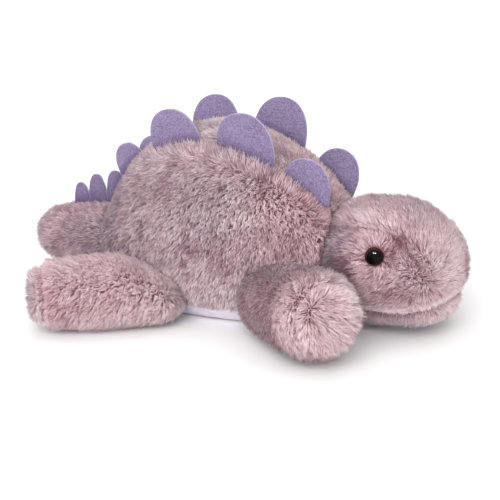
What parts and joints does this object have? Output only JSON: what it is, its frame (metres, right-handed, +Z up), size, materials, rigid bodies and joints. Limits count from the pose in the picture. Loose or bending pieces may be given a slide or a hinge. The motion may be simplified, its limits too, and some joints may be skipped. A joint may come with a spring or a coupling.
{
  "type": "stuffed toy dinosaur",
  "caption": "Plush dinosaur lying on its belly, legs splayed, with a double row of felt plates along its back, round domed eyes, a blunt head and a short tail.",
  "frame": {"origin": "bottom centre of the toy's box, on the surface that the belly rests on", "axes": "+X towards the head, +Y to the toy's left, +Z up"},
  "size_m": [0.3168, 0.2452, 0.1388],
  "materials": {
    "fur_body": "dusty mauve short-pile plush with frosted tips",
    "fur_top": "pale mauve short-pile plush",
    "fur_limb": "pinkish mauve short-pile plush",
    "belly_cloth": "smooth pale lavender velour",
    "felt": "lavender wool-blend felt",
    "filling": "white polyester fibre filling",
    "eye_plastic": "polished black-brown dome",
    "washer_plastic": "moulded natural nylon"
  },
  "bodies": {
    "body": {"body_side_right": "fur_body", "body_side_left": "fur_body", "back_gusset": "fur_top", "belly_panel": "belly_cloth", "body_stuffing": "filling", "plate_right_1": "felt", "plate_right_2": "felt", "plate_right_3": "felt", "plate_right_4": "felt", "plate_left_1": "felt", "plate_left_2": "felt", "plate_left_3": "felt", "plate_left_4": "felt", "plate_tail_3": "felt"},
    "head": {"head_side_right": "fur_body", "head_side_left": "fur_body", "chin_panel": "fur_body", "head_top_gusset": "fur_top", "head_stuffing": "filling", "eye_right": "eye_plastic", "eye_washer_right": "washer_plastic", "eye_left": "eye_plastic", "eye_washer_left": "washer_plastic"},
    "tail": {"tail_right": "fur_body", "tail_left": "fur_body", "tail_stuffing": "filling", "plate_tail_1": "felt", "plate_tail_2": "felt"},
    "front_leg_right": {"front_leg_right_sleeve": "fur_limb", "front_leg_right_sole": "fur_limb", "front_leg_right_stuffing": "filling"},
    "front_leg_left": {"front_leg_left_sleeve": "fur_limb", "front_leg_left_sole": "fur_limb", "front_leg_left_stuffing": "filling"},
    "rear_leg_right": {"rear_leg_right_sleeve": "fur_limb", "rear_leg_right_sole": "fur_limb", "rear_leg_right_stuffing": "filling"},
    "rear_leg_left": {"rear_leg_left_sleeve": "fur_limb", "rear_leg_left_sole": "fur_limb", "rear_leg_left_stuffing": "filling"}
  },
  "joints": [
    {"name": "neck_nod", "type": "hinge", "parent": "body", "child": "head", "pos_m": [0.0984, 0, 0.042], "axis": [0, -1, 0], "range_deg": [-4, 20], "stiffness_Nm_per_rad": 0.9},
    {"name": "tail_wag", "type": "hinge", "parent": "body", "child": "tail", "pos_m": [-0.0936, 0, 0.035], "axis": [0, 0, 1], "range_deg": [-18, 18], "stiffness_Nm_per_rad": 0.25},
    {"name": "front_leg_right_swing", "type": "hinge", "parent": "body", "child": "front_leg_right", "pos_m": [0.0484, -0.051, 0.0235], "axis": [0, 0, -1], "range_deg": [-5, 30], "stiffness_Nm_per_rad": 0.3},
    {"name": "front_leg_left_swing", "type": "hinge", "parent": "body", "child": "front_leg_left", "pos_m": [0.0484, 0.051, 0.0235], "axis": [0, 0, 1], "range_deg": [-5, 30], "stiffness_Nm_per_rad": 0.3},
    {"name": "rear_leg_right_swing", "type": "hinge", "parent": "body", "child": "rear_leg_right", "pos_m": [-0.0296, -0.061, 0.023], "axis": [0, 0, 1], "range_deg": [-5, 30], "stiffness_Nm_per_rad": 0.3},
    {"name": "rear_leg_left_swing", "type": "hinge", "parent": "body", "child": "rear_leg_left", "pos_m": [-0.0296, 0.061, 0.023], "axis": [0, 0, -1], "range_deg": [-5, 30], "stiffness_Nm_per_rad": 0.3}
  ]
}
